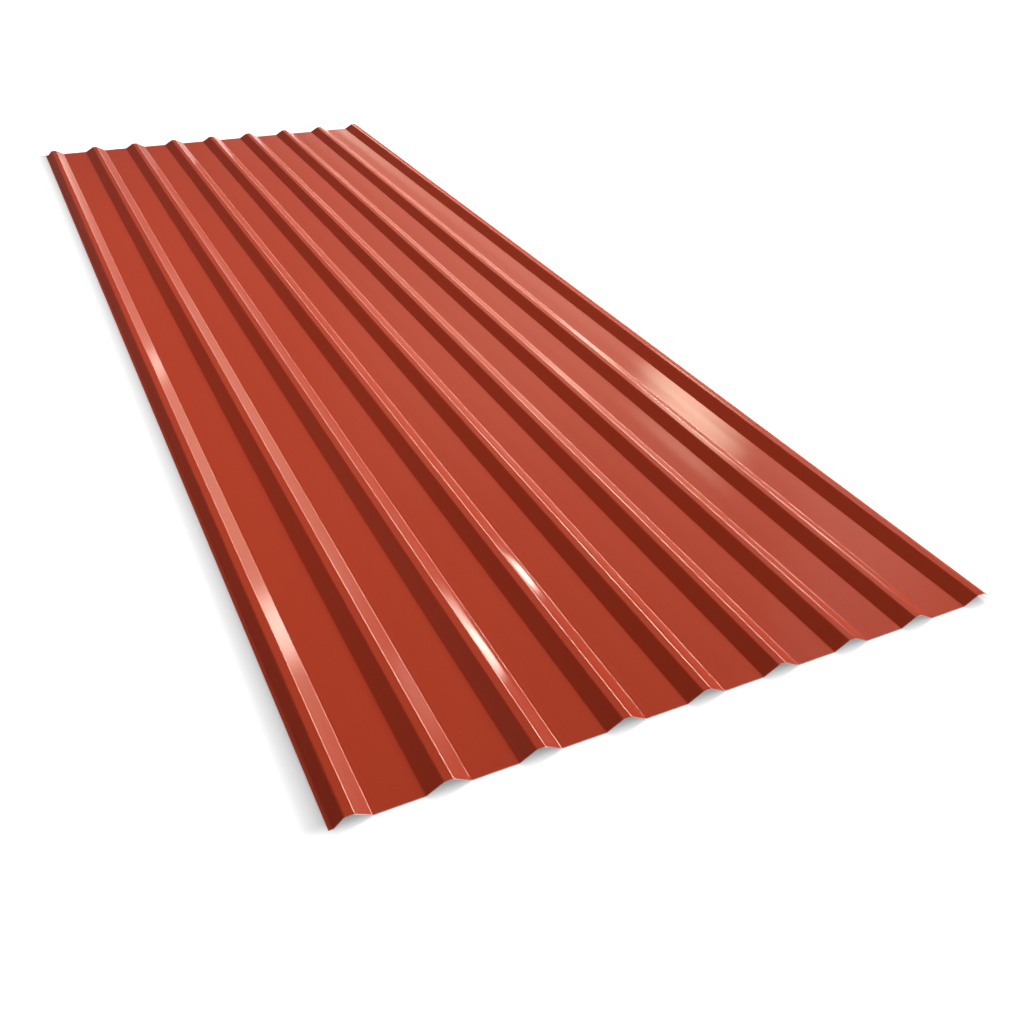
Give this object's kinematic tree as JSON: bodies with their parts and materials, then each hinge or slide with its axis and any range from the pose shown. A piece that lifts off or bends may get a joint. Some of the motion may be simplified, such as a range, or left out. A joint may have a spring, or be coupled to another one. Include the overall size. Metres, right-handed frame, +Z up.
{
  "type": "trapezoidal profiled steel roofing sheet",
  "caption": "Long roll-formed steel sheet with low trapezoidal ribs, shallow pan beads and lapping edge ribs, red coated on top, for covering roofs and walls.",
  "frame": {"origin": "middle of the sheet's outline, on the plane that its pans rest on", "axes": "+X across the ribs from the underlap edge to the overlap edge, +Y along the ribs, +Z up from the pans to the rib crowns"},
  "size_m": [1.1472, 3.2, 0.0155],
  "materials": {
    "red_coating": "satin"
  },
  "bodies": {
    "root": {"profiled_sheet": "red_coating"}
  },
  "joints": []
}
